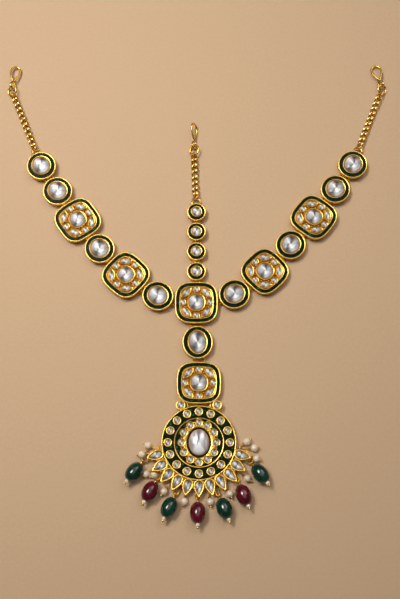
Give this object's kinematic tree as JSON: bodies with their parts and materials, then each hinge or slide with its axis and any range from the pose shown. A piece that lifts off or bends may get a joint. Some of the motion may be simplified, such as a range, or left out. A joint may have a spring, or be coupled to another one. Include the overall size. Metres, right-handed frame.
{
  "type": "matha patti",
  "caption": "Gold head ornament of stone-set squares and ovals in three strands, with chains, wire hooks and a round pendant fringed with pearls and bead drops.",
  "frame": {"origin": "middle of the centre square's flat back, on the surface that the ornament lies on", "axes": "+Y up the middle strand to its hook, +X to the right-hand strand as seen from the front, +Z out of the front"},
  "size_m": [0.2256, 0.271, 0.008],
  "materials": {
    "gold": "polished",
    "stone": "foil-backed, faceted",
    "pearl": "pearly",
    "green_glass": "glossy",
    "red_glass": "glossy"
  },
  "bodies": {
    "root": {"centre_square": "gold", "left_oval_1": "gold", "left_oval_2": "gold", "left_square_1": "gold", "left_oval_3": "gold", "left_square_2": "gold", "left_oval_4": "gold", "right_oval_1": "gold", "right_oval_2": "gold", "right_square_1": "gold", "right_oval_3": "gold", "right_square_2": "gold", "right_oval_4": "gold", "top_round_1": "gold", "top_round_2": "gold", "top_round_3": "gold", "top_round_4": "gold", "lower_oval": "gold", "pendant": "gold", "centre_square_stone": "stone", "left_oval_1_stone": "stone", "left_oval_2_stone": "stone", "left_square_1_stone": "stone", "left_oval_3_stone": "stone", "left_square_2_stone": "stone", "left_oval_4_stone": "stone", "right_oval_1_stone": "stone", "right_oval_2_stone": "stone", "right_square_1_stone": "stone", "right_oval_3_stone": "stone", "right_square_2_stone": "stone", "right_oval_4_stone": "stone", "top_round_1_stone": "stone", "top_round_2_stone": "stone", "top_round_3_stone": "stone", "top_round_4_stone": "stone", "lower_oval_stone": "stone", "lower_square_stone": "stone", "medallion_stone": "stone", "drop_1": "green_glass", "drop_2": "red_glass", "drop_3": "green_glass", "drop_4": "red_glass", "drop_5": "green_glass", "drop_6": "red_glass", "drop_7": "green_glass", "pearl_fringe": "pearl", "left_chain": "gold", "left_ring": "gold", "left_hook": "gold", "right_chain": "gold", "right_ring": "gold", "right_hook": "gold", "top_chain": "gold", "top_ring": "gold", "top_hook": "gold"}
  },
  "joints": []
}
